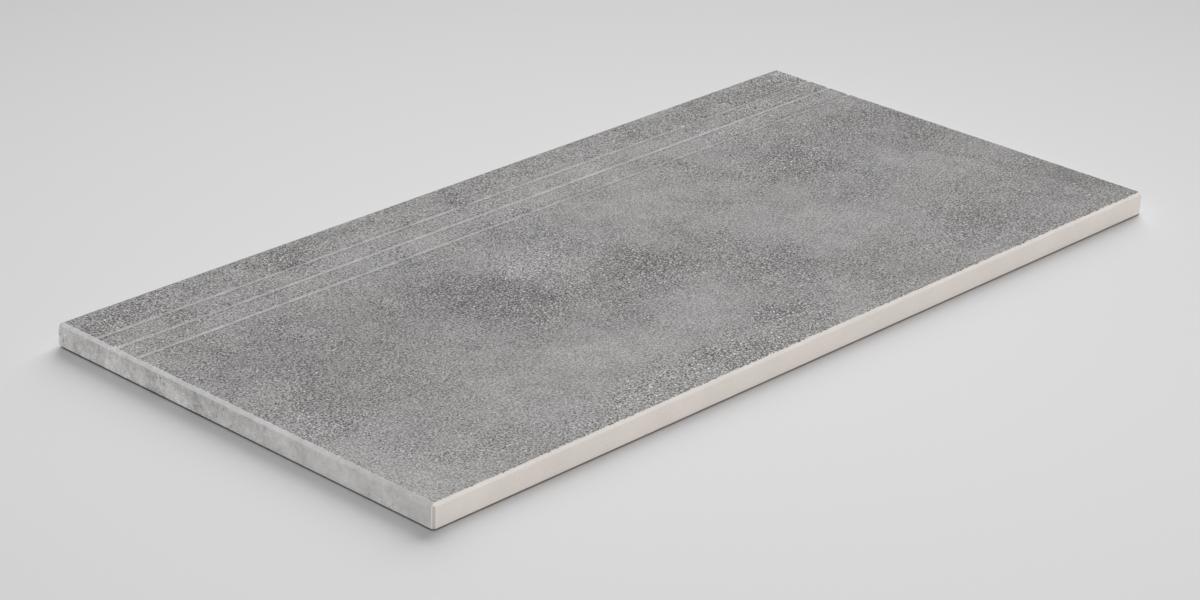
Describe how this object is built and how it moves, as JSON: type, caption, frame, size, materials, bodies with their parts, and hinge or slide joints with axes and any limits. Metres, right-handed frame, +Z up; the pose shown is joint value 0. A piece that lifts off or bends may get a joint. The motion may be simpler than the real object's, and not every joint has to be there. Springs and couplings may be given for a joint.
{
  "type": "stair tread tile",
  "caption": "Rectangular outdoor porcelain stair tread tile with a rounded nosing, anti-slip grooves along it, bevelled other edges and a keyed bed face.",
  "frame": {"origin": "middle of the underside, in the plane that the keying ribs rest on", "axes": "+X along the nosing, -Y out of the nosing, +Y out of the edge that meets the riser above, +Z up"},
  "size_m": [0.8, 0.4, 0.02],
  "materials": {
    "porcelain": "matte"
  },
  "bodies": {
    "root": {"tread_tile": "porcelain"}
  },
  "joints": []
}
